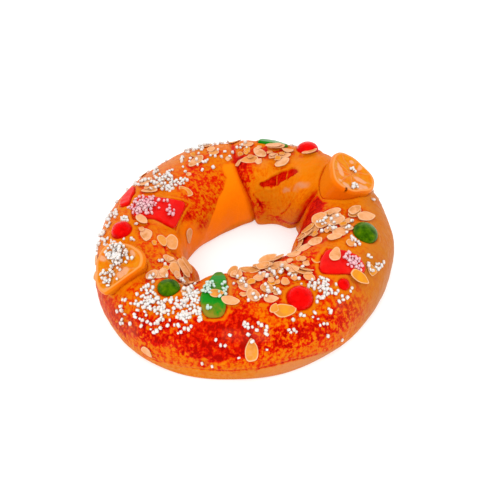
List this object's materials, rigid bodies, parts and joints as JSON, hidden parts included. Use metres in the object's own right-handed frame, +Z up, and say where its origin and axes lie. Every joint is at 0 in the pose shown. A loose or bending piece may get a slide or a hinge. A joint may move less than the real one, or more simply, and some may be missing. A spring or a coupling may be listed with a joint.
{
  "type": "king cake bread ring",
  "caption": "Oval sweet bread ring baked with candied orange slices, cherries and fruit strips, flaked almonds and pearl sugar on its crown.",
  "frame": {"origin": "on the table, under the middle of the ring's bounding box", "axes": "+Z up out of the crown; +X to the right and +Y away from a person who faces the front of the ring"},
  "size_m": [0.2746, 0.2807, 0.0835],
  "materials": {
    "baked_crust": null,
    "candied_orange": "sticky glazed candied orange",
    "candied_cherry_red": "wet glossy candied cherry",
    "candied_cherry_green": "wet glossy candied cherry",
    "candied_fruit_green": "glossy candied fruit strip",
    "candied_fruit_red": "glossy candied fruit strip"
  },
  "bodies": {
    "root": {"roscon_bread": "baked_crust", "orange_slice_left": "candied_orange", "orange_slice_right": "candied_orange", "red_cherry_left": "candied_cherry_red", "red_cherry_front": "candied_cherry_red", "red_cherry_back": "candied_cherry_red", "red_cherry_piece": "candied_cherry_red", "green_cherry_right": "candied_cherry_green", "green_cherry_front": "candied_cherry_green", "green_strip_front": "candied_fruit_green", "green_strip_back": "candied_fruit_green", "red_strip_left": "candied_fruit_red", "red_strip_back": "candied_fruit_red", "red_strip_right": "candied_fruit_red"}
  },
  "joints": []
}
